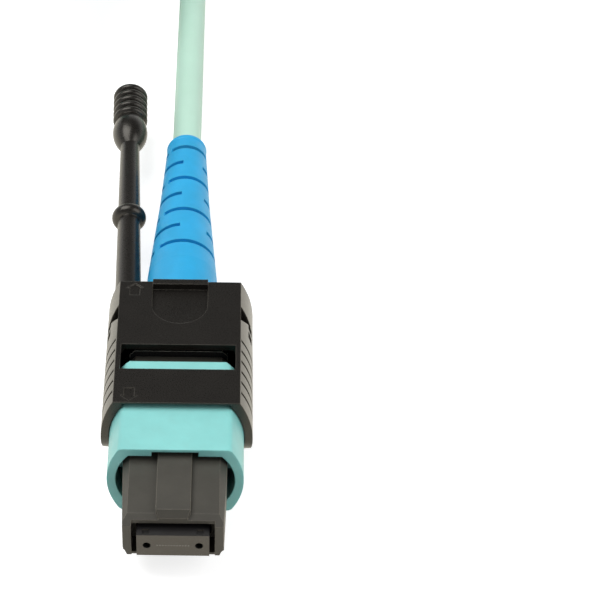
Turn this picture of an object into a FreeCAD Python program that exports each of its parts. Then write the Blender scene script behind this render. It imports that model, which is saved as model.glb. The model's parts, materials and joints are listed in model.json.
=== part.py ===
"""MPO fibre connector with a push-pull tab, on a one metre patch cable.

Frame: origin at the centre of the ferrule's end face, the connector mates along -Y,
+X to the right seen from the cable, +Z up (key side). Millimetres.
"""
import FreeCAD, Part
import math
import os

from FreeCAD import Placement, Rotation, Vector

# ---- ferrule ----------------------------------------------------------------
ferrule_width = 6.4
ferrule_height = 2.5
ferrule_length = 8.0
flange_width = 7.0
flange_height = 3.0
flange_length = 2.0
guide_hole_radius = 0.35
guide_hole_pitch = 4.6
nick_width = 0.6
nick_front = 0.2
nick_length = 0.55
nick_depth = 0.15
nick_pitch = 4.8
epoxy_window_length = 2.2
epoxy_window_front = 2.6
ribbon_width = 3.1
ribbon_thickness = 0.3
ribbon_slot_clearance = 0.03
boot_seat_width = 3.5
boot_seat_height = 1.4
ferrule_boot_tail = 1.4
small_fit = 0.02
keeper_length = 1.4
keeper_boss_length = 0.8
keeper_boss_wall = 0.15
keeper_slot_clearance = 0.05
spring_clearance = 0.2

# ---- inner housing ----------------------------------------------------------
nose_setback = 0.45
nose_width = 9.4
nose_front_width = 8.9
nose_height = 5.0
nose_slope_length = 1.05
nose_top_drop = 0.62
nose_bottom_drop = 0.85
nose_edge = 0.65
nose_roof_setback = 0.5
nose_corner_width = 0.37
nose_corner_height = 0.95
post_edge = 0.5
pocket_width = 7.35
pocket_height = 3.6
pocket_depth = 2.4
ferrule_clearance = 0.15
cavity_width = 7.7
cavity_height = 4.0
key_width = 3.05
key_front_width = 2.1
key_rise = 0.5
key_end = 19.0
housing_end = 22.0
latch_recess_depth = 0.5
latch_recess_length = 1.8
latch_recess_height = 2.4

# ---- springs ----------------------------------------------------------------
main_spring_wire = 0.5
main_spring_turns = 7
coupling_spring_wire = 0.3
coupling_spring_diameter = 1.3
coupling_spring_turns = 9
spring_seat_gap = 0.05
turn_points = 12

# ---- coupling ---------------------------------------------------------------
coupling_front = 8.1
coupling_length = 11.8
coupling_width = 12.4
coupling_height = 7.6
coupling_flat = 10.0
coupling_wall = 0.8
coupling_corner = 0.6
rear_chamfer = 0.5
key_notch_width = 4.2
key_notch_roof = 0.3
lug_length = 0.8
lug_clearance = 0.1
spring_groove_front = 10.4
spring_groove_end = 18.6

# ---- push-pull tab ----------------------------------------------------------
tab_front = 13.5
tab_length = 17.1
tab_width = 14.0
tab_height = 9.0
tab_flat = 11.6
tab_web_length = 5.8
tab_slide_fit = 0.05
window_front = 18.1
window_length = 3.4
window_width = 10.7
thumb_width = 5.3
thumb_straight = 3.4
thumb_depth = 0.42
lip_thickness = 0.7
lip_rise = 0.3
mark_length = 1.7
mark_width = 1.6
mark_stem = 0.95
mark_head = 0.65
mark_depth = 0.12
mark_offset = 4.35
mark_inset = 0.3
rib_count = 6
rib_pitch = 1.43
rib_groove_width = 0.3
rib_groove_depth = 0.35
rib_edge_depth = 0.2
rib_slant = 8.0
rib_first = 15.0
rib_edge = 0.15
side_lean = 45.0
side_lean_start = 0.0
side_lean_radius = 2.5
front_lip = 0.2
front_lip_length = 0.6
side_pocket_front = 24.6
side_pocket_length = 2.1
side_pocket_level = 2.2
side_pocket_height = 1.2
side_pocket_depth = 0.7
side_pocket_bar = 0.35
relief_front = 25.1
relief_rear = 27.1
relief_foot = 26.9
relief_depth = 2.5

# ---- pull rod ---------------------------------------------------------------
rod_offset = 5.1
rod_splay = 1.8
rod_root_radius = 1.35
rod_waist_radius = 1.0
rod_length = 27.4
rod_root_depth = 2.5
collar_place = 15.4
collar_radius = 1.75
collar_length = 1.5
grip_radius = 1.85
grip_valley = 1.5
grip_bulge = 4.2
grip_bulge_middle = 2.6
grip_rib_count = 5
grip_rib_length = 0.76
grip_rib_gap = 0.27

# ---- back post, crimp and boot ----------------------------------------------
post_plug_length = 2.5
post_flange_length = 2.5
post_flange_width = 9.2
post_flange_height = 6.4
post_barrel_length = 6.0
post_barrel_radius = 2.5
post_bore_radius = 2.0
post_lug_length = 0.8
post_lug_reach = 0.4
post_lug_height = 1.6
crimp_wall = 0.4
crimp_start = 0.4
crimp_cone = 1.0
crimp_tail = 4.0
boot_radius = 3.45
boot_start = 0.7
boot_shoulder = 36.0
boot_knee = 47.6
boot_knee_radius = 2.57
boot_end = 58.0
boot_end_radius = 2.05
boot_end_round = 0.9
boot_bore_clearance = 0.05
boot_clearance = 0.3
boot_slot_width = 0.55
boot_slot_depth = 0.75
boot_slot_first = 38.2
boot_slot_pitch = 5.65
boot_slot_rings = 4
wide_slots = [(-45.0, 120.0), (140.0, 300.0)]
offset_slots = [(-165.0, -6.0), (50.0, 170.0)]

# ---- cable ------------------------------------------------------------------
cable_radius = 1.5
cable_length = 1000.0
cable_start = 31.0
bend_start = 64.0
bend_end = 97.0
near_run_end = 114.0
hank_front = 106.5
hank_wide = 12.0
hank_tight = 9.0
hank_layers = 3
hank_folds = 9
hank_round = 1.0
lane_gap = 0.1
far_lane_run = 16.0
far_climb = 16.0
far_boot_gap = 35.5
far_offset = 4.5
far_rest_gap = 0.3
tie_length = 8.0
tie_thickness = 0.6
tie_round = 1.0

# ---- worked out -------------------------------------------------------------
floor_z = -tab_height / 2
flange_front = ferrule_length - flange_length
keeper_front = ferrule_length
keeper_seat = keeper_front + keeper_length
coupling_end = coupling_front + coupling_length
tab_end = tab_front + tab_length
web_front = tab_end - tab_web_length
post_front = housing_end - post_plug_length
post_flange_end = housing_end + post_flange_length
post_end = post_flange_end + post_barrel_length
ribbon_end = post_end - 1.0
crimp_front = post_flange_end + crimp_start
crimp_shoulder = post_end + crimp_start
crimp_end = crimp_shoulder + crimp_cone + crimp_tail
boot_front = post_flange_end + boot_start


def block(x, y0, y1, z0, z1):
    """Box centred on x = 0, of half width x."""
    return Part.makeBox(2 * x, y1 - y0, z1 - z0, Vector(-x, y0, z0))


def bar(width, height, y0, y1):
    """Rectangular bar along Y, centred on the axis."""
    return block(width / 2, y0, y1, -height / 2, height / 2)


def rod_y(radius, y0, y1, x=0.0, z=0.0):
    """Round bar along Y."""
    return Part.makeCylinder(radius, y1 - y0, Vector(x, y0, z), Vector(0, 1, 0))


def barrel(flat, width, height, y0, y1):
    """Bar along Y with flat top and bottom and bowed sides."""
    a, b, c = flat / 2, width / 2, height / 2
    edges = [
        Part.LineSegment(Vector(-a, y0, c), Vector(a, y0, c)),
        Part.Arc(Vector(a, y0, c), Vector(b, y0, 0), Vector(a, y0, -c)),
        Part.LineSegment(Vector(a, y0, -c), Vector(-a, y0, -c)),
        Part.Arc(Vector(-a, y0, -c), Vector(-b, y0, 0), Vector(-a, y0, c)),
    ]
    wire = Part.Wire([edge.toShape() for edge in edges])
    return Part.Face(wire).extrude(Vector(0, y1 - y0, 0))


def prism(points, direction):
    """Prism from a closed polygon."""
    return Part.Face(Part.makePolygon(points + points[:1])).extrude(direction)


def turned(profile):
    """Solid of revolution about Y from (y, radius) points, each reached by a line, or by an arc
    where the entry has a third and fourth number: the arc's middle point."""
    edges = []
    first = Vector(0, profile[0][0], 0)
    last = first
    for entry in profile:
        point = Vector(entry[1], entry[0], 0)
        if len(entry) == 4:
            middle = Vector(entry[3], entry[2], 0)
            edges.append(Part.Arc(last, middle, point).toShape())
        else:
            edges.append(Part.LineSegment(last, point).toShape())
        last = point
    end = Vector(0, last.y, 0)
    edges.append(Part.LineSegment(last, end).toShape())
    edges.append(Part.LineSegment(end, first).toShape())
    face = Part.Face(Part.Wire(edges))
    return face.revolve(Vector(0, 0, 0), Vector(0, 1, 0), 360)


def oval_spring(half_x, half_z, wire, y0, y1, turns, x=0.0):
    """Compression spring along Y whose turns are ovals of the given centre-line half axes."""
    count = turns * turn_points
    low = y0 + wire / 2 + spring_seat_gap
    high = y1 - wire / 2 - spring_seat_gap
    points = []
    for i in range(count + 1):
        angle = 2 * math.pi * i / turn_points
        y = low + (high - low) * i / count
        points.append(Vector(x + half_x * math.cos(angle), y, half_z * math.sin(angle)))
    curve = Part.BSplineCurve()
    curve.interpolate(points)
    path = Part.Wire([curve.toShape()])
    start = curve.tangent(curve.FirstParameter)[0]
    section = Part.Wire([Part.makeCircle(wire / 2, points[0], start)])
    return Part.Solid(path.makePipeShell([section], True, True))


def largest(shape):
    """The one solid of a cut or a fuse."""
    return max(shape.Solids, key=lambda solid: solid.Volume)


# ---- the pieces inside the nose ---------------------------------------------
def ferrule():
    front = bar(ferrule_width, ferrule_height, 0, flange_front)
    flange = bar(flange_width, flange_height, flange_front, ferrule_length)
    body = front.fuse(flange)
    for side in (-1, 1):
        x = side * guide_hole_pitch / 2
        body = body.cut(rod_y(guide_hole_radius, -1, ferrule_length + 1, x))
        body = body.cut(top_nick(side))
    window_end = epoxy_window_front + epoxy_window_length
    low = -ribbon_thickness
    body = body.cut(block(ribbon_width / 2, epoxy_window_front, window_end, low, ferrule_height))
    seat = bar(boot_seat_width, boot_seat_height, window_end, ferrule_length + 1)
    return largest(body.cut(seat).removeSplitter())


def top_nick(side):
    """Cutter of the shallow nick in the ferrule's top, just behind its end face."""
    top = ferrule_height / 2
    nick = block(nick_width / 2, nick_front, nick_front + nick_length, top - nick_depth, top + 1)
    nick.translate(Vector(side * nick_pitch / 2, 0, 0))
    return nick


def ribbon_slot(y0, y1):
    width = ribbon_width + 2 * ribbon_slot_clearance
    height = ribbon_thickness + 2 * ribbon_slot_clearance
    return bar(width, height, y0, y1)


def ferrule_boot():
    front = epoxy_window_front + epoxy_window_length
    end = ferrule_length + ferrule_boot_tail
    width = boot_seat_width - 2 * small_fit
    body = bar(width, boot_seat_height - 2 * small_fit, front, end)
    return body.cut(ribbon_slot(front - 1, end + 1))


def fibre_ribbon():
    return bar(ribbon_width, ribbon_thickness, epoxy_window_front + small_fit, ribbon_end)


def pin_keeper():
    end = keeper_seat + keeper_boss_length
    plate = bar(flange_width, flange_height, keeper_front, keeper_seat)
    slot_width = boot_seat_width + 2 * keeper_slot_clearance
    slot_height = boot_seat_height + 2 * keeper_slot_clearance
    wall = 2 * keeper_boss_wall
    boss = bar(slot_width + wall, slot_height + wall, keeper_seat, end)
    return plate.fuse(boss).cut(bar(slot_width, slot_height, keeper_front - 1, end + 1)).removeSplitter()


def main_spring():
    half_x = cavity_width / 2 - main_spring_wire - spring_clearance
    half_z = cavity_height / 2 - main_spring_wire / 2 - spring_clearance
    return oval_spring(half_x, half_z, main_spring_wire, keeper_seat, post_front, main_spring_turns)


# ---- inner housing ----------------------------------------------------------
def nose_outside():
    """Nose block, narrower towards its front, with bevelled long edges and a sloped front rim."""
    a, b, c = nose_width / 2, nose_front_width / 2, nose_height / 2
    y0, y1, y2 = nose_setback, coupling_front, housing_end
    plan = [
        Vector(-b, y0, -c),
        Vector(b, y0, -c),
        Vector(a, y1, -c),
        Vector(a, y2, -c),
        Vector(-a, y2, -c),
        Vector(-a, y1, -c),
    ]
    body = prism(plan, Vector(0, 0, nose_height))
    reach = nose_slope_length + nose_setback
    for side, drop in ((1, nose_top_drop), (-1, nose_bottom_drop)):
        slope = [
            Vector(-a, y0 - 1, side * (c + 1)),
            Vector(-a, reach, side * (c + 1)),
            Vector(-a, reach, side * c),
            Vector(-a, y0, side * (c - drop)),
            Vector(-a, y0 - 1, side * (c - drop)),
        ]
        body = body.cut(prism(slope, Vector(2 * a, 0, 0)))
        for edge in (-1, 1):
            bevel = [
                Vector(edge * a, y0 - 1, side * (c - nose_edge)),
                Vector(edge * a, y0 - 1, side * c),
                Vector(edge * (a - nose_edge), y0 - 1, side * c),
            ]
            body = body.cut(prism(bevel, Vector(0, y2 + 2, 0)))
    for edge in (-1, 1):
        z = nose_bottom_drop - c
        corner = [
            Vector(edge * (b - nose_corner_width), y0, z),
            Vector(edge * b, y0, z + nose_corner_height),
            Vector(edge * (b + 1), y0, z + nose_corner_height),
            Vector(edge * (b + 1), y0, z),
        ]
        body = body.cut(prism(corner, Vector(0, nose_slope_length, -nose_bottom_drop)))
    return body


def key_ridge():
    """Polarity key along the top of the nose, its front end sloped and narrowed."""
    top = nose_height / 2 + key_rise
    base = nose_height / 2 - nose_top_drop
    y0 = nose_setback + nose_slope_length
    ridge = block(key_width / 2, y0, key_end, base, top)
    w, v = key_width / 2, key_front_width / 2
    back = Part.makePolygon([
        Vector(-w, y0, base), Vector(w, y0, base), Vector(w, y0, top), Vector(-w, y0, top),
        Vector(-w, y0, base)])
    front = Part.makePolygon([
        Vector(-v, nose_setback, base - 0.1), Vector(v, nose_setback, base - 0.1),
        Vector(v, nose_setback, base), Vector(-v, nose_setback, base),
        Vector(-v, nose_setback, base - 0.1)])
    return ridge.fuse(Part.makeLoft([front, back], True, True))


def inner_housing():
    body = nose_outside().fuse(key_ridge())
    pocket_end = nose_setback + pocket_depth
    roof_start = nose_setback + nose_roof_setback
    body = body.cut(bar(pocket_width, pocket_height, nose_setback - 1, pocket_end))
    body = body.cut(bar(pocket_width, 2 * nose_height, nose_setback - 1, roof_start))
    throat_width = ferrule_width + 2 * ferrule_clearance
    throat_height = ferrule_height + 2 * ferrule_clearance
    body = body.cut(bar(throat_width, throat_height, pocket_end - 1, flange_front + 1))
    body = body.cut(bar(cavity_width, cavity_height, flange_front, housing_end + 1))
    groove_floor = nose_width / 2 - coupling_spring_diameter / 2
    groove_height = coupling_spring_diameter / 2 + lug_clearance
    lug_front = housing_end - post_plug_length + post_lug_length / 2
    latch_front = coupling_front + lug_length / 2
    for side in (-1, 1):
        groove = Part.makeBox(
            coupling_spring_diameter, spring_groove_end - spring_groove_front, 2 * groove_height,
            Vector(0, 0, 0))
        x = groove_floor if side > 0 else -groove_floor - coupling_spring_diameter
        groove.translate(Vector(x, spring_groove_front, -groove_height))
        body = body.cut(groove)
        recess = Part.makeBox(
            latch_recess_depth, latch_recess_length, latch_recess_height, Vector(0, 0, 0))
        x = side * nose_width / 2 - (latch_recess_depth if side > 0 else 0)
        recess.translate(Vector(x, latch_front, -latch_recess_height / 2))
        body = body.cut(recess)
    window = bar(
        nose_width + 1, post_lug_height + 2 * lug_clearance,
        lug_front - lug_clearance, lug_front + post_lug_length + lug_clearance)
    return largest(body.cut(window).removeSplitter())


def back_post():
    plug = bar(cavity_width - 2 * small_fit, cavity_height - 2 * small_fit, post_front, housing_end)
    flange = bar(post_flange_width, post_flange_height, housing_end, post_flange_end)
    long_edges = [e for e in flange.Edges if abs(e.tangentAt(e.FirstParameter).y) > 0.9]
    flange = flange.makeChamfer(post_edge, long_edges)
    barrel_part = rod_y(post_barrel_radius, post_flange_end, post_end)
    body = plug.fuse([flange, barrel_part])
    lug_front = housing_end - post_plug_length + post_lug_length / 2
    lug_width = cavity_width + 2 * post_lug_reach
    lug = bar(lug_width, post_lug_height, lug_front, lug_front + post_lug_length)
    body = body.fuse(lug)
    body = body.cut(rod_y(post_bore_radius, post_front - 1, post_end + 1))
    return largest(body.removeSplitter())


# ---- coupling and its springs -----------------------------------------------
def coupling():
    outside = barrel(coupling_flat, coupling_width, coupling_height, coupling_front, coupling_end)
    long_edges = [
        e for e in outside.Edges
        if e.Curve.TypeId == "Part::GeomLine" and abs(e.tangentAt(e.FirstParameter).y) > 0.9]
    outside = outside.makeFillet(coupling_corner, long_edges)
    body = outside.cut(rear_bevel())
    wall = 2 * coupling_wall
    body = body.cut(barrel(
        coupling_flat - wall, coupling_width - wall, coupling_height - wall,
        coupling_front - 1, coupling_end + 1))
    roof = coupling_height / 2 - key_notch_roof
    body = body.cut(block(key_notch_width / 2, coupling_front - 1, coupling_end + 1, 0, roof))
    for side in (-1, 1):
        body = body.fuse(lug(side))
    return largest(body.removeSplitter())


def rear_bevel():
    """Corner cuts that narrow the coupling's rear edge in plan."""
    half = coupling_width / 2
    flat = coupling_flat / 2
    cutters = []
    for side in (-1, 1):
        corner = [
            Vector(side * (half + 1), coupling_end - rear_chamfer, -coupling_height),
            Vector(side * (half + 1), coupling_end + 1, -coupling_height),
            Vector(side * (flat - rear_chamfer), coupling_end + 1, -coupling_height),
            Vector(side * (flat - rear_chamfer), coupling_end, -coupling_height),
            Vector(side * flat, coupling_end - rear_chamfer, -coupling_height),
        ]
        upper = prism(corner, Vector(0, 0, 2 * coupling_height))
        cutters.append(upper.cut(bar(4 * half, coupling_height - 4 * coupling_wall, 0, 2 * coupling_end)))
    return cutters[0].fuse(cutters[1])


def lug(side):
    """Inner lug of the coupling that pushes its spring along the housing's side groove."""
    inner = nose_width / 2 - coupling_spring_diameter / 2 + lug_clearance
    outer = coupling_width / 2 - coupling_wall / 2
    height = coupling_spring_diameter / 2
    body = Part.makeBox(outer - inner, lug_length, 2 * height, Vector(0, 0, 0))
    x = inner if side > 0 else -outer
    body.translate(Vector(x, spring_groove_front, -height))
    return body


def coupling_spring(side):
    radius = (coupling_spring_diameter - coupling_spring_wire) / 2
    centre = side * (nose_width / 2 + lug_clearance / 2)
    front = spring_groove_front + lug_length
    return oval_spring(
        radius, radius, coupling_spring_wire, front, spring_groove_end, coupling_spring_turns,
        x=centre)


# ---- push-pull tab ----------------------------------------------------------
def direction_mark(y_tip, toward):
    """House-shaped arrow cut into the top plate, its tip at y_tip."""
    z = tab_height / 2 - mark_depth
    shoulder = y_tip - toward * mark_head
    base = y_tip - toward * mark_length
    points = [
        Vector(-mark_offset, y_tip, z),
        Vector(-mark_offset + mark_width / 2, shoulder, z),
        Vector(-mark_offset + mark_stem / 2, shoulder, z),
        Vector(-mark_offset + mark_stem / 2, base, z),
        Vector(-mark_offset - mark_stem / 2, base, z),
        Vector(-mark_offset - mark_stem / 2, shoulder, z),
        Vector(-mark_offset - mark_width / 2, shoulder, z),
    ]
    return prism(points, Vector(0, 0, 1))


def thumb_recess():
    """D-shaped recess in the rear of the top plate."""
    z = tab_height / 2 - thumb_depth
    bow = tab_end - thumb_straight
    square = block(thumb_width / 2, bow, tab_end + 1, z, z + 1)
    return square.fuse(Part.makeCylinder(thumb_width / 2, 1, Vector(0, bow, z)))


def rib_grooves(side):
    """Chevron grip grooves down one bowed side."""
    core = barrel(
        tab_flat - 2 * rib_edge_depth, tab_width - 2 * rib_groove_depth, tab_height,
        tab_front - 1, tab_end + 1)
    top = tab_height / 2 - rib_edge
    back = top * math.tan(math.radians(rib_slant))
    near_x = side * (tab_flat / 2 - rib_edge_depth)
    reach = Vector(side * tab_width, 0, 0)
    grooves = []
    for i in range(rib_count):
        y = rib_first + i * rib_pitch
        chevron = [
            Vector(near_x, y, top),
            Vector(near_x, y + rib_groove_width, top),
            Vector(near_x, y + rib_groove_width + back, 0),
            Vector(near_x, y + rib_groove_width, -top),
            Vector(near_x, y, -top),
            Vector(near_x, y + back, 0),
        ]
        grooves.append(prism(chevron, reach).cut(core))
    return grooves


def side_pockets(side):
    """Two small pockets, one each side of a thin bar, high on the rear of one side."""
    length = (side_pocket_length - side_pocket_bar) / 2
    x = side * (tab_width / 2 - side_pocket_depth)
    z0 = side_pocket_level - side_pocket_height / 2
    z1 = side_pocket_level + side_pocket_height / 2
    pockets = []
    for y in (side_pocket_front, side_pocket_front + length + side_pocket_bar):
        rear = y + length
        outline = [Vector(x, y, z0), Vector(x, rear, z0), Vector(x, rear, z1), Vector(x, y, z1)]
        pockets.append(prism(outline, Vector(side * tab_width, 0, 0)))
    return pockets


def relief_notch(side):
    """Slanting notch beside the top plate that parts the grip side from the rear block."""
    x = side * tab_flat / 2
    z = tab_height / 2
    outline = [
        Vector(x, relief_front - 1, z + 1),
        Vector(x, relief_front, z),
        Vector(x, relief_foot, z - relief_depth),
        Vector(x, relief_rear, z),
        Vector(x, relief_rear, z + 1),
    ]
    return prism(outline, Vector(side * tab_width, 0, 0))


def lower_front_slant():
    """Cutter that rounds the tab's front edge and leans it back below mid height."""
    turn = math.radians(side_lean)
    drop = tab_height

    def on_arc(angle):
        y = tab_front + side_lean_radius * (1 - math.cos(angle))
        return Vector(-tab_width, y, side_lean_start - side_lean_radius * math.sin(angle))

    end = on_arc(turn)
    foot = end + Vector(0, drop * math.tan(turn), -drop)
    corner = Vector(-tab_width, tab_front - 1, foot.z)
    top = Vector(-tab_width, tab_front - 1, side_lean_start)
    edges = [
        Part.Arc(on_arc(0), on_arc(turn / 2), end).toShape(),
        Part.makePolygon([end, foot, corner, top, on_arc(0)]),
    ]
    face = Part.Face(Part.Wire([edges[0]] + edges[1].Edges))
    return face.extrude(Vector(2 * tab_width, 0, 0))


def front_lip_bevel():
    """Bevel under the top wall's front edge, which leaves only a thin lip."""
    x = -coupling_flat / 2
    z0 = coupling_height / 2
    z1 = tab_height / 2 - front_lip
    outline = [
        Vector(x, tab_front - 1, z0),
        Vector(x, tab_front - 1, z1),
        Vector(x, tab_front, z1),
        Vector(x, tab_front + front_lip_length, z0),
    ]
    return prism(outline, Vector(coupling_flat, 0, 0))


def pull_rod():
    """Rod with a collar and a ribbed barrel grip, one moulding with the tab."""
    y = 0.0
    profile = [(y, rod_root_radius)]
    y = rod_root_depth + collar_place - collar_length / 2
    share = collar_place / rod_length
    mid_radius = rod_root_radius + (rod_waist_radius - rod_root_radius) * share
    profile.append((y, mid_radius))
    profile.append((y + collar_length, mid_radius, y + collar_length / 2, collar_radius))
    y = rod_root_depth + rod_length
    profile.append((y, rod_waist_radius))
    profile.append((y + grip_bulge, grip_valley, y + grip_bulge_middle, grip_radius))
    y += grip_bulge
    for _ in range(grip_rib_count):
        profile.append((y + grip_rib_gap, grip_valley))
        y += grip_rib_gap
        profile.append((y + grip_rib_length, grip_valley, y + grip_rib_length / 2, grip_radius))
        y += grip_rib_length
    body = turned(profile)
    body.rotate(Vector(0, 0, 0), Vector(0, 0, 1), rod_splay)
    body.translate(Vector(-rod_offset, tab_end - rod_root_depth, 0))
    return body


def pull_tab():
    body = barrel(tab_flat, tab_width, tab_height, tab_front, tab_end)
    fit = 2 * tab_slide_fit
    body = body.cut(barrel(
        coupling_flat + fit, coupling_width + fit, coupling_height + fit, tab_front - 1, web_front))
    body = body.cut(rod_y(boot_radius + boot_clearance, web_front - 1, tab_end + 1))
    top = tab_height / 2
    body = body.cut(block(window_width / 2, window_front, window_front + window_length, 0, top + 1))
    body = body.cut(thumb_recess())
    low = top - thumb_depth
    body = body.fuse(block(
        thumb_width / 2, tab_end - lip_thickness, tab_end + small_fit, low - small_fit, top + lip_rise))
    body = body.cut(direction_mark(tab_front + mark_inset, -1))
    body = body.cut(direction_mark(tab_end - mark_inset, 1))
    body = body.cut([lower_front_slant(), front_lip_bevel()])
    for side in (-1, 1):
        body = body.cut(rib_grooves(side) + side_pockets(side) + [relief_notch(side)])
    return largest(body.fuse(pull_rod()).removeSplitter())


# ---- crimp and boot ---------------------------------------------------------
def crimp_profile(wall):
    """(y, radius) points of the crimp's outside when wall is its thickness, or its bore at 0."""
    big = post_barrel_radius + small_fit + wall
    small = cable_radius + small_fit + wall
    return [
        (crimp_front, big),
        (crimp_shoulder, big),
        (crimp_shoulder + crimp_cone, small),
        (crimp_end, small),
    ]


def crimp_ring():
    return turned(crimp_profile(crimp_wall)).cut(turned(crimp_profile(0)))


def slot_cutter(y, start, stop):
    """Arc-shaped slot across the boot's wall, angles measured from +Z towards +X."""
    outer = Part.makeCylinder(
        2 * boot_radius, boot_slot_width, Vector(0, 0, 0), Vector(0, 0, 1), stop - start)
    outer.rotate(Vector(0, 0, 0), Vector(0, 0, 1), 90 - stop)
    outer.rotate(Vector(0, 0, 0), Vector(1, 0, 0), 90)
    outer.translate(Vector(0, y + boot_slot_width, 0))
    return outer


def boot_core(depth):
    """The boot's outer form, shrunk by depth."""
    return turned([
        (boot_front, boot_radius - depth),
        (boot_shoulder, boot_radius - depth),
        (boot_knee, boot_knee_radius - depth),
        (boot_end - boot_end_round, boot_end_radius - depth),
        (boot_end, boot_end_radius - depth - boot_end_round / 2,
         boot_end - 0.25 * boot_end_round, boot_end_radius - depth - 0.12 * boot_end_round),
    ])


def boot_slots():
    """Blind slots in rings along the boot; the last ring goes through to the cable."""
    cutters = []
    last = boot_slot_rings - 1
    for i in range(last):
        y = boot_slot_first + i * boot_slot_pitch
        depth = boot_slot_depth if y < boot_knee else boot_slot_depth * 0.75
        for place, slots in ((y, wide_slots), (y + boot_slot_pitch / 2, offset_slots)):
            for start, stop in slots:
                cutters.append(slot_cutter(place, start, stop).cut(boot_core(depth)))
    for start, stop in wide_slots:
        cutters.append(slot_cutter(boot_slot_first + last * boot_slot_pitch, start, stop))
    return cutters[0].multiFuse(cutters[1:])


def boot():
    body = boot_core(0).cut(boot_slots())
    clear = small_fit
    seat = [(y, r + clear) for y, r in crimp_profile(crimp_wall)]
    seat[0] = (boot_front - 1, seat[0][1])
    seat[-1] = (crimp_end + clear, seat[-1][1])
    body = body.cut(turned(seat))
    body = body.cut(rod_y(cable_radius + boot_bore_clearance, crimp_end - 1, boot_end + 1))
    return largest(body)


# ---- cable ------------------------------------------------------------------
def routed_tube(points, radius):
    """Tube along straight runs joined by tangent arcs, as large as the two runs allow."""
    edges = []
    last = points[0]
    for before, corner, after in zip(points, points[1:], points[2:]):
        back = before.sub(corner)
        ahead = after.sub(corner)
        half = (math.pi - back.getAngle(ahead)) / 2
        trim = 0.45 * min(back.Length, ahead.Length)
        print("cable bend radius", round(trim / math.tan(half), 1))
        back.normalize()
        ahead.normalize()
        start = corner.add(back * trim)
        stop = corner.add(ahead * trim)
        inward = back.add(ahead)
        inward.normalize()
        bend = trim / math.tan(half)
        middle = corner.add(inward * (bend / math.cos(half) - bend))
        edges.append(Part.LineSegment(last, start).toShape())
        edges.append(Part.Arc(start, middle, stop).toShape())
        last = stop
    edges.append(Part.LineSegment(last, points[-1]).toShape())
    path = Part.Wire(edges)
    direction = points[1].sub(points[0])
    section = Part.Wire([Part.makeCircle(radius, points[0], direction)])
    tube = Part.Solid(path.makePipeShell([section], True, True))
    expected = math.pi * radius ** 2 * path.Length
    print("cable volume against section times length", round(tube.Volume / expected, 5))
    return tube, path.Length


def cable_layout():
    """Routes of the two free cable runs, the hank's rear fold centre and the far plug's place."""
    low = floor_z + cable_radius
    top = floor_z + 2 * cable_radius * hank_layers
    near = [
        Vector(0, cable_start, 0),
        Vector(0, bend_start, 0),
        Vector(0, bend_end, low),
        Vector(0, near_run_end, low),
    ]
    lane_x = -hank_wide - hank_tight
    lane_z = top - cable_radius
    far_x = -hank_wide - far_offset
    far_z = top + far_rest_gap + tab_height / 2
    inside = boot_end - cable_start
    far = [
        Vector(lane_x, 0, lane_z),
        Vector(lane_x, -far_lane_run, lane_z),
        Vector(far_x, -far_lane_run - far_climb, far_z),
        Vector(far_x, -far_boot_gap - inside, far_z),
    ]
    near_length = route_length(near) - (near_run_end - hank_front)
    folds = hank_folds * math.pi * (hank_wide + hank_tight) / 2
    run = (cable_length - near_length - route_length(far) - folds) / hank_folds
    rear = hank_front + run
    far = [point + Vector(0, rear, 0) for point in far]
    far_place = Vector(far_x, rear - far_boot_gap - boot_end, far_z)
    return near, far, rear, far_place


def route_length(points):
    return sum(b.sub(a).Length for a, b in zip(points, points[1:]))


def oval_slab(radius, rear):
    """Slab of the hank's height with two round ends."""
    height = 2 * cable_radius * hank_layers
    body = block(radius, hank_front, rear, floor_z, floor_z + height)
    for y in (hank_front, rear):
        body = body.fuse(Part.makeCylinder(radius, height, Vector(0, y, floor_z)))
    body = body.removeSplitter()
    body.translate(Vector(-hank_wide, 0, 0))
    return body


def cable_hank(rear):
    """Outer form of the folded length, open where its first and last runs lie in it."""
    body = oval_slab(hank_wide + cable_radius, rear)
    rims = [e for e in body.Edges if abs(e.BoundBox.ZMax - e.BoundBox.ZMin) < 0.001]
    body = body.makeFillet(hank_round, rims)
    body = body.cut(oval_slab(hank_tight - cable_radius, rear))
    lane = cable_radius + lane_gap
    first = block(lane, hank_front - hank_wide, near_run_end, floor_z - 1, floor_z + 2 * lane)
    top = floor_z + 2 * cable_radius * hank_layers
    last = block(lane, hank_front, rear, top - 2 * cable_radius - lane_gap, top + 1)
    last.translate(Vector(-hank_wide - hank_tight, 0, 0))
    return largest(body.cut([first, last, hank_tie(rear)]))


def hank_tie(rear):
    """Strap round the hank's right-hand runs, at their middle."""
    y = (hank_front + rear - tie_length) / 2
    width = hank_wide - hank_tight + 2 * cable_radius
    height = 2 * cable_radius * hank_layers
    thick = tie_thickness
    outer = block(width / 2 + thick, y, y + tie_length, floor_z, floor_z + height + thick)
    inner = block(width / 2, y - 1, y + tie_length + 1, floor_z + thick, floor_z + height)
    outer = rounded_along(outer, tie_round + thick)
    inner = rounded_along(inner, tie_round)
    band = outer.cut(inner)
    band.translate(Vector(-(hank_wide - hank_tight) / 2, 0, 0))
    return band


def rounded_along(body, radius):
    """The same bar with its four long edges rounded."""
    long_edges = [e for e in body.Edges if e.BoundBox.YMax - e.BoundBox.YMin > 1]
    return body.makeFillet(radius, long_edges)


def connector():
    """Every piece of one connector, in its own frame."""
    return {
        "ferrule": ferrule(),
        "ferrule_boot": ferrule_boot(),
        "fibre_ribbon": fibre_ribbon(),
        "pin_keeper": pin_keeper(),
        "main_spring": main_spring(),
        "inner_housing": inner_housing(),
        "back_post": back_post(),
        "coupling": coupling(),
        "coupling_spring_left": coupling_spring(-1),
        "coupling_spring_right": coupling_spring(1),
        "pull_tab": pull_tab(),
        "crimp_ring": crimp_ring(),
        "boot": boot(),
    }


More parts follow.
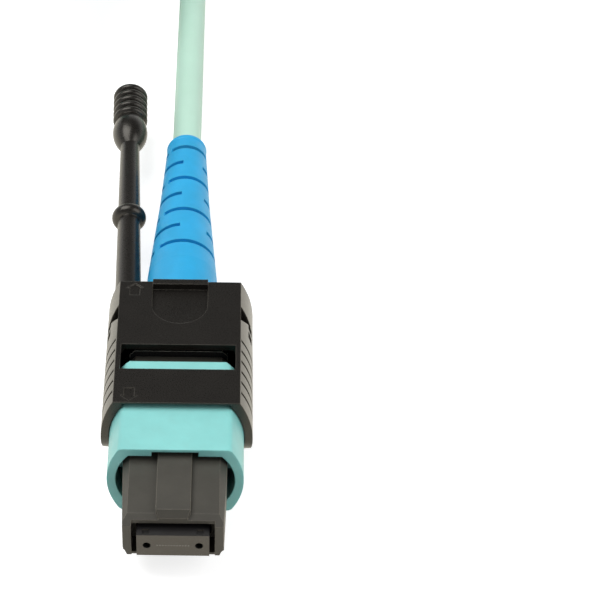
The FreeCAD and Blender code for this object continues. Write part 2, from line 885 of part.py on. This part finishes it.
def main():
    os.makedirs("parts", exist_ok=True)
    near, far, rear, far_place = cable_layout()
    nodes = connector()
    for name, shape in list(nodes.items()):
        nodes["far_" + name] = shape.translated(far_place)
    nodes["cable_run"], near_length = routed_tube(near, cable_radius)
    nodes["cable_hank"] = cable_hank(rear)
    nodes["hank_tie"] = hank_tie(rear)
    nodes["far_cable_run"], far_length = routed_tube(far, cable_radius)
    print("hank's rear fold centre", round(rear, 3), "far plug at", far_place)
    print("free runs", round(near_length, 1), round(far_length, 1))
    for name, shape in nodes.items():
        shape.exportStep("parts/" + name + ".step")


main()
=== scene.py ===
"""Looks for a push-pull multi-fibre cable connector: plastics, metal, rubber, cable and studio."""

import json
import math

import bmesh
import bpy
from mathutils import Matrix, Vector

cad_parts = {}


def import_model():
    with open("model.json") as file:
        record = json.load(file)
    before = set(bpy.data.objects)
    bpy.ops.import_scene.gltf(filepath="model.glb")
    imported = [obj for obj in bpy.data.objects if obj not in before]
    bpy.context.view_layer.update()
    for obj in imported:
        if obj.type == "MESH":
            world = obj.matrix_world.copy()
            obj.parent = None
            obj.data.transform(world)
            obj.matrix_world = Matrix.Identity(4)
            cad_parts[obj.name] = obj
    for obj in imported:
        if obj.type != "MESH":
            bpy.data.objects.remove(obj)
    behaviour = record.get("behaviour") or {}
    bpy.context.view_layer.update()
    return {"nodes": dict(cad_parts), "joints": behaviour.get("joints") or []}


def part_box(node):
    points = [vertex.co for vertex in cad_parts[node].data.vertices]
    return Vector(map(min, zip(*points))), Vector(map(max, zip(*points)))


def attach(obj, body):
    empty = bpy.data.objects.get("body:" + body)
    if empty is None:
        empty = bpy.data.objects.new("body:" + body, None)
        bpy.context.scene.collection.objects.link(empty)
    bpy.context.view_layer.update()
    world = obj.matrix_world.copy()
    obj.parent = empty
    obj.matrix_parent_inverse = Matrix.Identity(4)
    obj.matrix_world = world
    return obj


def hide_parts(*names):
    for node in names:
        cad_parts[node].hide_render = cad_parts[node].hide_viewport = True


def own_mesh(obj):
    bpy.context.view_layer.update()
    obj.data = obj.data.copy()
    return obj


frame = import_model()

MM = 0.001

# ---- cable -------------------------------------------------------------------
CABLE_DIAMETER = 3.0 * MM

# ---- its route in millimetres, the same as the tube's in the CAD model ---------
NEAR_ROUTE = [(0, 31, 0), (0, 46, 0), (0, 64, 0), (0, 97, -3), (0, 114, -3)]
HANK_CENTRE_X = -12
HANK_FRONT = 106.5
HANK_REAR = 169.079
HANK_LANES = [(12, -3), (9, -3), (9, 0), (12, 0), (12, 3), (9, 3)]
HANK_LANE_POINTS = 12
HANK_SHIFT_POINTS = 3
HANK_FOLD_POINTS = 7
HANK_FOLDS = 9
FAR_ROUTE = [(-21, 153.079, 3), (-16.5, 137.079, 9.3), (-16.5, 121, 9.3), (-16.5, 106.579, 9.3)]

# ---- surfaces ----------------------------------------------------------------
WAVES_PER_UNIT = 20  # bands across one unit of a wave texture at scale 1
STRAP_THREAD = 0.4 * MM
# width and patch size of the painted highlight along moulded edges
EDGE_HIGHLIGHT_WIDTH = 0.08 * MM
EDGE_HIGHLIGHT_PATCHES = 0.5 * MM
FLOW_PATCHES = 2.5 * MM
SPECK_SIZE = 0.06 * MM
GLOW_DEPTH = 0.6 * MM

# ---- ferrule end -------------------------------------------------------------
FIBRE_COUNT = 12
FIBRE_PITCH = 0.25 * MM
FIBRE_DIAMETER = 0.125 * MM
FIBRE_STAND = 0.003 * MM

# ---- camera: millimetres and degrees -------------------------------------------
CAMERA_AIM = (0, 27.9, 4.5)
CAMERA_DISTANCE = 227.3
CAMERA_ELEVATION = 40.5
CAMERA_AZIMUTH = 1.6
CAMERA_ROLL = -0.4
CAMERA_LENS = 143.0
CAMERA_SHIFT = 0.2
SENSOR_WIDTH = 36
NEAREST_SEEN = 0.01
FARTHEST_SEEN = 20

# ---- studio: lamps in metres and watts -----------------------------------------
FLOOR_Z = -4.5 * MM
FLOOR_GAP = 0.02 * MM
FLOOR_REACH = 3.0
FLOOR_SHADE = 0.6
FLOOR_GLOW = 0.75
FLOOR_MIRRORED = 0.85
FLOOR_WARMTH = (1, 0.93, 0.74, 1)
WORLD_LEVEL = 0.3
SKY_WHITE_TO = 0.15
SKY_DARK_FROM = 0.55
SKY_DARK_LEVEL = 0.08
LAMP_AIM = (0, 0.03, 0)
KEY_PLACE = (-0.2, 0.1, 0.45)
KEY_SIZE = 0.4
KEY_POWER = 2.0
FILL_PLACE = (0.35, -0.1, 0.3)
FILL_SIZE = 0.35
FILL_POWER = 0.9


def srgb(r, g, b):
    """Linear colour of an 8-bit screen colour."""
    out = []
    for v in (r, g, b):
        v /= 255
        out.append(v / 12.92 if v <= 0.04045 else ((v + 0.055) / 1.055) ** 2.4)
    return out


def scaled(colour, factor):
    """Opaque colour, brighter or darker by factor."""
    return [min(1.0, c * factor) for c in colour] + [1.0]


# ---- materials ---------------------------------------------------------------
class Nodes:
    """Short way to add and join a material's nodes."""

    def __init__(self, name):
        self.material = bpy.data.materials.new(name)
        self.material.use_nodes = True
        self.tree = self.material.node_tree
        self.shader = self.tree.nodes["Principled BSDF"]
        self.coords = self.add("ShaderNodeTexCoord").outputs["Object"]

    def add(self, kind, **values):
        node = self.tree.nodes.new(kind)
        for key, value in values.items():
            setattr(node, key, value)
        return node

    def join(self, a, b):
        self.tree.links.new(a, b)

    def noise(self, size, detail=3.0, roughness=0.55, stretch=(1, 1, 1)):
        """Noise whose features are about size metres across."""
        scale = self.add("ShaderNodeMapping")
        scale.inputs["Scale"].default_value = [s / size for s in stretch]
        self.join(self.coords, scale.inputs["Vector"])
        noise = self.add("ShaderNodeTexNoise")
        noise.inputs["Scale"].default_value = 1.0
        noise.inputs["Detail"].default_value = detail
        noise.inputs["Roughness"].default_value = roughness
        self.join(scale.outputs["Vector"], noise.inputs["Vector"])
        return noise.outputs["Fac"]

    def spread(self, value, low, high, start=0.3, end=0.7):
        """value, from start to end, turned into low to high."""
        node = self.add("ShaderNodeMapRange")
        node.inputs["From Min"].default_value = start
        node.inputs["From Max"].default_value = end
        node.inputs["To Min"].default_value = low
        node.inputs["To Max"].default_value = high
        self.join(value, node.inputs["Value"])
        return node.outputs["Result"]

    def mix(self, factor, a, b):
        node = self.add("ShaderNodeMix", data_type="RGBA")
        self.join(factor, node.inputs["Factor"])
        for socket, value in ((node.inputs[6], a), (node.inputs[7], b)):
            if isinstance(value, bpy.types.NodeSocket):
                self.join(value, socket)
            else:
                socket.default_value = value
        return node.outputs[2]

    def edges(self, radius):
        """1 along edges of about the given radius, and 0 on flats."""
        bevel = self.add("ShaderNodeBevel", samples=8)
        bevel.inputs["Radius"].default_value = radius
        shape = self.add("ShaderNodeNewGeometry")
        turn = self.add("ShaderNodeVectorMath", operation="DOT_PRODUCT")
        self.join(bevel.outputs["Normal"], turn.inputs[0])
        self.join(shape.outputs["Normal"], turn.inputs[1])
        return self.spread(turn.outputs["Value"], 1, 0, 0.93, 0.995)

    def relief(self, height, distance, strength, edge):
        """Surface normal of a fine relief on edges rounded to the radius edge."""
        bump = self.add("ShaderNodeBump")
        bump.inputs["Distance"].default_value = distance
        bump.inputs["Strength"].default_value = strength
        self.join(height, bump.inputs["Height"])
        if edge:
            bevel = self.add("ShaderNodeBevel", samples=6)
            bevel.inputs["Radius"].default_value = edge
            self.join(bevel.outputs["Normal"], bump.inputs["Normal"])
        self.join(bump.outputs["Normal"], self.shader.inputs["Normal"])


def moulded(name, colour, roughness, grain, depth, mottle=0.1, edge=0.0, tint=(1, 1, 1), painted_edge_highlight=None):
    """Moulded plastic: grain, faint flow mottling, uneven gloss and a painted highlight: edges painted
    lighter, in patches, to the given highlight colour.
    """
    n = Nodes(name)
    broad = n.noise(FLOW_PATCHES, detail=4.0)
    fine = n.noise(grain, detail=2.0)
    shade = n.mix(n.spread(broad, 0, 1), scaled(colour, 1 - mottle), scaled(colour, 1 + mottle))
    # painted highlight: edges painted lighter in patches, standing in for light caught on the edges
    if painted_edge_highlight:
        edge_highlight_mask = n.add("ShaderNodeMath", operation="MULTIPLY")
        n.join(n.edges(EDGE_HIGHLIGHT_WIDTH), edge_highlight_mask.inputs[0])
        n.join(n.spread(n.noise(EDGE_HIGHLIGHT_PATCHES), 0.35, 1), edge_highlight_mask.inputs[1])
        shade = n.mix(edge_highlight_mask.outputs["Value"], shade, scaled(painted_edge_highlight, 1))
    n.join(shade, n.shader.inputs["Base Color"])
    n.join(n.spread(fine, roughness - 0.06, roughness + 0.08), n.shader.inputs["Roughness"])
    n.relief(fine, depth, 0.6, edge)
    n.shader.inputs["Specular Tint"].default_value = (*tint, 1)
    return n


def tab_plastic():
    # the last colour is a painted highlight along the edges
    n = moulded("tab_plastic", srgb(22, 20, 18), 0.3, 0.09 * MM, 0.006 * MM,
                mottle=0.18, edge=0.12 * MM, tint=(1, 0.95, 0.86), painted_edge_highlight=srgb(74, 70, 62))
    n.shader.inputs["Specular IOR Level"].default_value = 0.6
    return n.material


def housing_plastic():
    # the last colour is a painted highlight along the edges
    n = moulded("housing_plastic", srgb(66, 64, 58), 0.5, 0.07 * MM, 0.006 * MM,
                mottle=0.1, edge=0.1 * MM, tint=(1, 0.96, 0.9), painted_edge_highlight=srgb(128, 122, 110))
    return n.material


def post_plastic():
    # the last colour is a near-white painted highlight along the edges
    n = moulded("post_plastic", srgb(24, 24, 26), 0.3, 0.1 * MM, 0.004 * MM,
                mottle=0.1, edge=0.12 * MM, painted_edge_highlight=srgb(215, 212, 200))
    return n.material


def ferrule_resin():
    """Glass-filled resin: black as moulded, and grey with mineral specks on faces turned to the front;
    the grey is partly the lapped end face's finish and partly painted light, and the black top partly
    painted shade.
    """
    n = moulded("ferrule_resin", srgb(28, 27, 28), 0.45, 0.05 * MM, 0.003 * MM,
                mottle=0.08, edge=0.04 * MM, tint=(1, 0.97, 0.93))
    speck = n.add("ShaderNodeTexVoronoi")
    speck.inputs["Scale"].default_value = 1 / SPECK_SIZE
    n.join(n.coords, speck.inputs["Vector"])
    bright = n.spread(speck.outputs["Distance"], 1, 0, 0.05, 0.2)
    lapped_and_lit_colour = n.mix(bright, scaled(srgb(78, 73, 65), 1), scaled(srgb(150, 145, 138), 1))
    # painted light and shade: which way a face turns picks its colour, so the front-facing end face is
    # painted lighter than the top
    facing = n.add("ShaderNodeSeparateXYZ")
    n.join(n.add("ShaderNodeTexCoord").outputs["Normal"], facing.inputs["Vector"])
    lapped_and_lit_face = n.spread(facing.outputs["Y"], 0, 1, -0.8, -0.95)
    moulded_skin = n.shader.inputs["Base Color"].links[0].from_socket
    n.join(n.mix(lapped_and_lit_face, moulded_skin, lapped_and_lit_colour), n.shader.inputs["Base Color"])
    return n.material


def coupling_plastic():
    n = moulded("coupling_plastic", srgb(141, 213, 209), 0.42, 0.08 * MM, 0.005 * MM,
                mottle=0.05, edge=0.15 * MM)
    n.shader.inputs["Subsurface Weight"].default_value = 0.15
    n.shader.inputs["Subsurface Radius"].default_value = (0.3, 0.8, 0.8)
    n.shader.inputs["Subsurface Scale"].default_value = GLOW_DEPTH
    return n.material


def boot_rubber():
    n = moulded("boot_rubber", srgb(38, 170, 224), 0.5, 0.12 * MM, 0.008 * MM,
                mottle=0.06, edge=0.1 * MM)
    n.shader.inputs["Subsurface Weight"].default_value = 0.1
    n.shader.inputs["Subsurface Radius"].default_value = (0.2, 0.6, 1.0)
    n.shader.inputs["Subsurface Scale"].default_value = GLOW_DEPTH
    return n.material


def inner_rubber():
    n = moulded("inner_rubber", srgb(30, 30, 32), 0.7, 0.1 * MM, 0.01 * MM)
    return n.material


def jacket():
    """Extruded cable jacket: faint draw lines along it, soft sheen."""
    n = Nodes("jacket")
    lines = n.noise(0.35 * MM, detail=2.0, stretch=(1, 0.04, 1))
    cloud = n.noise(6 * MM, detail=3.0)
    colour = srgb(190, 226, 208)
    shade = n.mix(n.spread(cloud, 0, 1), scaled(colour, 0.97), scaled(colour, 1.03))
    n.join(shade, n.shader.inputs["Base Color"])
    n.join(n.spread(lines, 0.42, 0.58), n.shader.inputs["Roughness"])
    n.relief(lines, 0.01 * MM, 0.5, 0)
    n.shader.inputs["Subsurface Weight"].default_value = 0.12
    n.shader.inputs["Subsurface Radius"].default_value = (0.7, 1.0, 0.8)
    n.shader.inputs["Subsurface Scale"].default_value = 0.8 * MM
    return n.material


def metal(name, colour, roughness, stretch):
    """Turned or drawn metal with fine marks along one way."""
    n = Nodes(name)
    marks = n.noise(0.15 * MM, detail=3.0, stretch=stretch)
    stain = n.noise(3 * MM, detail=4.0)
    shade = n.mix(n.spread(stain, 0, 1), scaled(colour, 0.85), scaled(colour, 1.05))
    n.join(shade, n.shader.inputs["Base Color"])
    n.join(n.spread(marks, roughness - 0.08, roughness + 0.12), n.shader.inputs["Roughness"])
    n.relief(marks, 0.006 * MM, 0.5, 0)
    n.shader.inputs["Metallic"].default_value = 1.0
    return n.material


def strap_weave():
    """Hook-and-loop strap: a close weave across and along under short fuzz."""
    n = moulded("strap_weave", srgb(38, 38, 42), 0.85, 0.15 * MM, 0.02 * MM)
    threads = []
    for way in ("X", "Y"):
        wave = n.add("ShaderNodeTexWave", bands_direction=way)
        wave.inputs["Scale"].default_value = 1 / STRAP_THREAD / WAVES_PER_UNIT
        wave.inputs["Distortion"].default_value = 1.5
        n.join(n.coords, wave.inputs["Vector"])
        threads.append(wave.outputs["Fac"])
    weave = n.add("ShaderNodeMath", operation="MULTIPLY")
    n.join(threads[0], weave.inputs[0])
    n.join(threads[1], weave.inputs[1])
    n.relief(weave.outputs["Value"], 0.08 * MM, 0.8, 0.1 * MM)
    n.shader.inputs["Sheen Weight"].default_value = 0.3
    return n.material


def ribbon_coat():
    """Fibre ribbon: twelve coated fibres side by side."""
    n = moulded("ribbon_coat", srgb(150, 200, 205), 0.3, 0.2 * MM, 0.002 * MM)
    wave = n.add("ShaderNodeTexWave", bands_direction="X")
    wave.inputs["Scale"].default_value = 1 / FIBRE_PITCH / WAVES_PER_UNIT
    n.join(n.coords, wave.inputs["Vector"])
    n.relief(wave.outputs["Fac"], 0.03 * MM, 0.8, 0)
    return n.material


def fibre_glass():
    n = Nodes("fibre_glass")
    glow = n.noise(0.03 * MM)
    a, b = scaled(srgb(120, 115, 108), 1), scaled(srgb(165, 160, 150), 1)
    n.join(n.mix(n.spread(glow, 0, 1), a, b), n.shader.inputs["Base Color"])
    n.join(n.spread(glow, 0.05, 0.15), n.shader.inputs["Roughness"])
    return n.material


# ---- pieces ------------------------------------------------------------------
def dress(materials):
    """Gives each CAD node, and its twin on the far end, its material."""
    for name, obj in frame["nodes"].items():
        near = name.removeprefix("far_")
        if near in materials:
            obj.data.materials.clear()
            obj.data.materials.append(materials[near])


def hank_lane(index):
    """Radius and height of one point of the fold: steady, then over to the next lane."""
    lane, place = divmod(index, HANK_LANE_POINTS)
    share = max(0, place - (HANK_LANE_POINTS - HANK_SHIFT_POINTS)) / HANK_SHIFT_POINTS
    here = Vector(HANK_LANES[lane])
    ahead = Vector(HANK_LANES[min(lane + 1, len(HANK_LANES) - 1)])
    return here.lerp(ahead, share)


def hank_points():
    """Control points round the folds, the first and last of each on the runs."""
    step = math.pi / (HANK_FOLD_POINTS - 2)
    points = []
    for index in range(HANK_FOLDS * HANK_FOLD_POINTS):
        fold, order = divmod(index, HANK_FOLD_POINTS)
        radius, height = hank_lane(index)
        angle = math.pi * fold + (order - 0.5) * step
        reach = radius / math.cos(step / 2)
        middle = HANK_FRONT if fold % 2 else HANK_REAR
        across = HANK_CENTRE_X + reach * math.cos(angle)
        along = middle + reach * math.sin(angle)
        points.append((across, along, height))
    return points


def cable(material):
    """One smooth line from the near boot through the hank into the far boot."""
    curve = bpy.data.curves.new("cable", "CURVE")
    curve.dimensions = "3D"
    spline = curve.splines.new("NURBS")
    route = NEAR_ROUTE + hank_points() + FAR_ROUTE
    spline.points.add(len(route) - 1)
    for point, place in zip(spline.points, route):
        point.co = (*(MM * v for v in place), 1)
    spline.order_u = 3
    spline.use_endpoint_u = True
    spline.resolution_u = 6
    curve.bevel_depth = CABLE_DIAMETER / 2
    curve.bevel_resolution = 6
    curve.use_fill_caps = True
    obj = bpy.data.objects.new("cable", curve)
    bpy.context.collection.objects.link(obj)
    curve.materials.append(material)
    return obj


def live_spring(node, material):
    """Coil spring: a copy of the spring node's mesh with its own material, on the root body, shown in
    place of the node.
    """
    obj = bpy.data.objects.new(node + "_coil", frame["nodes"][node].data.copy())
    obj.data.materials.clear()
    obj.data.materials.append(material)
    bpy.context.collection.objects.link(obj)
    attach(obj, "root")
    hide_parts(node)
    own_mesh(obj)
    return obj


def live_springs(material):
    """Every spring of the record, by the name of its node."""
    made = {}
    for joint in frame["joints"]:
        for spring in joint["deforming_nodes"]:
            made[spring["node"]] = live_spring(
                spring["node"], material)
    return made


def fibre_ends(name, centre, material):
    """Polished ends of the fibres, in a row across the ferrule's face."""
    mesh = bpy.data.meshes.new(name)
    bm = bmesh.new()
    for i in range(FIBRE_COUNT):
        x = (i - (FIBRE_COUNT - 1) / 2) * FIBRE_PITCH
        place = Matrix.Translation(centre + Vector((x, 0, 0))) @ Matrix.Rotation(math.pi / 2, 4, "X")
        bmesh.ops.create_cone(
            bm, cap_ends=True, segments=20, radius1=FIBRE_DIAMETER / 2,
            radius2=FIBRE_DIAMETER / 2 * 0.96, depth=2 * FIBRE_STAND, matrix=place)
    bm.to_mesh(mesh)
    bm.free()
    mesh.materials.append(material)
    obj = bpy.data.objects.new(name, mesh)
    bpy.context.collection.objects.link(obj)
    return obj


def fibre_row(prefix, material):
    """Fibre ends that ride with the ferrule of one plug."""
    low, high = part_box(prefix + "ferrule")
    face = Vector(((low.x + high.x) / 2, low.y, (low.z + high.z) / 2))
    piece = fibre_ends(prefix + "fibre_ends", face, material)
    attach(piece, prefix + "floating_ferrule")
    return piece


# ---- studio ------------------------------------------------------------------
def seen_by(tree, *kinds):
    """1 for rays of any of these kinds, otherwise 0."""
    path = tree.nodes.new("ShaderNodeLightPath")
    either = path.outputs[kinds[0]]
    for kind in kinds[1:]:
        most = tree.nodes.new("ShaderNodeMath")
        most.operation = "MAXIMUM"
        tree.links.new(either, most.inputs[0])
        tree.links.new(path.outputs[kind], most.inputs[1])
        either = most.outputs[0]
    return either


def floor():
    """Pale floor just below the object."""
    mesh = bpy.data.meshes.new("floor")
    turns = ((-1, -1), (1, -1), (1, 1), (-1, 1))
    corners = [(FLOOR_REACH * x, FLOOR_REACH * y, FLOOR_Z - FLOOR_GAP) for x, y in turns]
    mesh.from_pydata(corners, [], [(0, 1, 2, 3)])
    mesh.materials.append(floor_white())
    obj = bpy.data.objects.new("floor", mesh)
    bpy.context.collection.objects.link(obj)


def floor_white():
    """Matt white that keeps the shadow and glows white to the camera, warm white in reflections."""
    material = bpy.data.materials.new("floor_white")
    material.use_nodes = True
    tree = material.node_tree
    matt = tree.nodes["Principled BSDF"]
    matt.inputs["Base Color"].default_value = (FLOOR_SHADE, FLOOR_SHADE, FLOOR_SHADE, 1)
    matt.inputs["Roughness"].default_value = 0.9
    matt.inputs["Specular IOR Level"].default_value = 0.0
    total = matt.outputs[0]
    for kinds, colour, strength in (
            (("Is Camera Ray",), (1, 1, 1, 1), FLOOR_GLOW),
            (("Is Glossy Ray", "Is Transmission Ray"), FLOOR_WARMTH, FLOOR_MIRRORED)):
        glow = tree.nodes.new("ShaderNodeEmission")
        glow.inputs["Color"].default_value = colour
        lift = tree.nodes.new("ShaderNodeMath")
        lift.operation = "MULTIPLY"
        lift.inputs[1].default_value = strength
        tree.links.new(seen_by(tree, *kinds), lift.inputs[0])
        tree.links.new(lift.outputs[0], glow.inputs["Strength"])
        both = tree.nodes.new("ShaderNodeAddShader")
        tree.links.new(total, both.inputs[0])
        tree.links.new(glow.outputs[0], both.inputs[1])
        total = both.outputs[0]
    tree.links.new(total, tree.nodes["Material Output"].inputs["Surface"])
    return material


def world():
    """Dim surroundings, white to the camera, and in reflections white below and dark overhead."""
    made = bpy.data.worlds.new("studio")
    bpy.context.scene.world = made
    made.use_nodes = True
    tree = made.node_tree
    plain = tree.nodes["Background"]
    plain.inputs["Color"].default_value = (1, 1, 1, 1)
    place = tree.nodes.new("ShaderNodeTexCoord")
    apart = tree.nodes.new("ShaderNodeSeparateXYZ")
    tree.links.new(place.outputs["Generated"], apart.inputs["Vector"])
    sky = tree.nodes.new("ShaderNodeMapRange")
    sky.inputs["From Min"].default_value = SKY_WHITE_TO
    sky.inputs["From Max"].default_value = SKY_DARK_FROM
    sky.inputs["To Min"].default_value = 1.0
    sky.inputs["To Max"].default_value = SKY_DARK_LEVEL
    tree.links.new(apart.outputs["Z"], sky.inputs["Value"])
    mirrored = tree.nodes.new("ShaderNodeMapRange")
    mirrored.inputs["To Min"].default_value = WORLD_LEVEL
    tree.links.new(sky.outputs["Result"], mirrored.inputs["To Max"])
    tree.links.new(seen_by(tree, "Is Glossy Ray"), mirrored.inputs["Value"])
    level = tree.nodes.new("ShaderNodeMapRange")
    level.inputs["To Max"].default_value = 1.0
    tree.links.new(mirrored.outputs["Result"], level.inputs["To Min"])
    tree.links.new(seen_by(tree, "Is Camera Ray"), level.inputs["Value"])
    tree.links.new(level.outputs["Result"], plain.inputs["Strength"])


def lamp(name, place, size, watts):
    """Square soft lamp that looks at the plug."""
    data = bpy.data.lights.new(name, "AREA")
    data.shape = "RECTANGLE"
    data.size = size
    data.size_y = size
    data.energy = watts
    obj = bpy.data.objects.new(name, data)
    bpy.context.collection.objects.link(obj)
    obj.location = place
    obj.rotation_euler = (Vector(LAMP_AIM) - Vector(place)).to_track_quat("-Z", "Y").to_euler()


def camera():
    """Camera in front of the plug, a little above, with the plug left of the middle."""
    data = bpy.data.cameras.new("camera")
    data.sensor_width = SENSOR_WIDTH
    data.lens = CAMERA_LENS
    data.shift_x = CAMERA_SHIFT
    data.clip_start = NEAREST_SEEN
    data.clip_end = FARTHEST_SEEN
    obj = bpy.data.objects.new("camera", data)
    bpy.context.collection.objects.link(obj)
    obj.matrix_world = (
        Matrix.Translation(MM * Vector(CAMERA_AIM))
        @ Matrix.Rotation(math.radians(CAMERA_AZIMUTH), 4, "Z")
        @ Matrix.Rotation(math.radians(90 - CAMERA_ELEVATION), 4, "X")
        @ Matrix.Rotation(math.radians(CAMERA_ROLL), 4, "Z")
        @ Matrix.Translation((0, 0, CAMERA_DISTANCE * MM))
    )
    bpy.context.scene.camera = obj


camera()
world()
floor()
lamp("key", KEY_PLACE, KEY_SIZE, KEY_POWER)
lamp("fill", FILL_PLACE, FILL_SIZE, FILL_POWER)
bpy.context.scene.view_settings.view_transform = "Standard"

run = cable(jacket())
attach(run, "root")
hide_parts("cable_run", "cable_hank", "far_cable_run")
springs = live_springs(metal("spring_steel", srgb(200, 200, 202), 0.25, (1, 1, 0.2)))
fibre = fibre_glass()
fibre_row("", fibre)
far_row = fibre_row("far_", fibre)

dress({
    "ferrule": ferrule_resin(),
    "ferrule_boot": inner_rubber(),
    "fibre_ribbon": ribbon_coat(),
    "pin_keeper": metal("keeper_steel", srgb(190, 190, 190), 0.3, (1, 0.05, 1)),
    "inner_housing": housing_plastic(),
    "back_post": post_plastic(),
    "coupling": coupling_plastic(),
    "pull_tab": tab_plastic(),
    "crimp_ring": metal("crimp_brass", srgb(205, 195, 170), 0.35, (0.1, 1, 0.1)),
    "boot": boot_rubber(),
    "hank_tie": strap_weave(),
})
